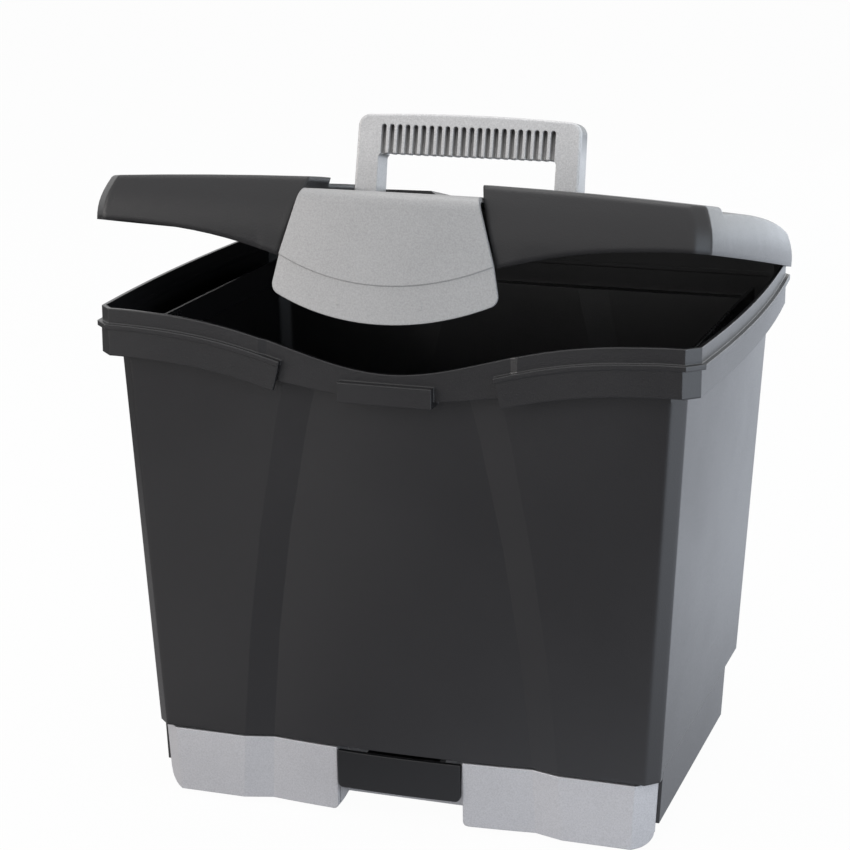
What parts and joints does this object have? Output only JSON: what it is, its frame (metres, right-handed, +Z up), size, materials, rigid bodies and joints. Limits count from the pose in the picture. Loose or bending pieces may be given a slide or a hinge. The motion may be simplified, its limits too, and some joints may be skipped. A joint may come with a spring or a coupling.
{
  "type": "portable file box",
  "caption": "Tall black carry box for hanging files with a tilting lid, silver front latch and bail handle, and a shallow silver-fronted drawer in the base.",
  "frame": {"origin": "on the floor under the middle of the tub", "axes": "+Z up, -Y towards the front with the latch and drawer, +X towards the right seen from the front"},
  "size_m": [0.359, 0.2901, 0.3924],
  "materials": {
    "tub_black": "fine-grained charcoal black",
    "housing_black": "fine-grained charcoal black",
    "foot_rubber": "matt black",
    "screw_steel": "zinc plated",
    "rail_black": "smooth black",
    "lid_black": "fine-grained charcoal black",
    "pin_steel": "plain steel",
    "silver_plastic": "metallic silver-grey plastic, satin",
    "pin_black": "black moulded pin",
    "tray_black": "charcoal black",
    "pull_black": "glossy black"
  },
  "bodies": {
    "box body": {"tub": "tub_black", "drawer_housing": "housing_black", "foot_front_left": "foot_rubber", "foot_front_right": "foot_rubber", "foot_rear_left": "foot_rubber", "foot_rear_right": "foot_rubber", "housing_screws": "screw_steel", "file_rail_left": "rail_black", "file_rail_right": "rail_black", "hinge_pin_left": "pin_steel", "hinge_pin_right": "pin_steel"},
    "lid": {"lid": "lid_black", "latch_pin": "pin_steel", "handle_pin_left": "pin_black", "handle_pin_right": "pin_black"},
    "latch": {"latch_plate": "silver_plastic"},
    "handle": {"handle": "silver_plastic"},
    "drawer": {"drawer_tray": "tray_black", "drawer_front": "silver_plastic", "drawer_pull": "pull_black"}
  },
  "joints": [
    {"name": "lid_hinge", "type": "hinge", "parent": "box body", "child": "lid", "pos_m": [0, 0.1435, 0.287], "axis": [-1, 0, 0], "range_deg": [-12.2, 95]},
    {"name": "latch_hinge", "type": "hinge", "parent": "lid", "child": "latch", "pos_m": [0, -0.10256, 0.36271], "axis": [-1, 0, 0], "range_deg": [0, 16]},
    {"name": "handle_hinge", "type": "hinge", "parent": "lid", "child": "handle", "pos_m": [0, 0.01777, 0.3372], "axis": [1, 0, 0], "range_deg": [0, 90]},
    {"name": "drawer_slide", "type": "slide", "parent": "box body", "child": "drawer", "axis": [0, -1, 0], "range_m": [0, 0.12]}
  ]
}
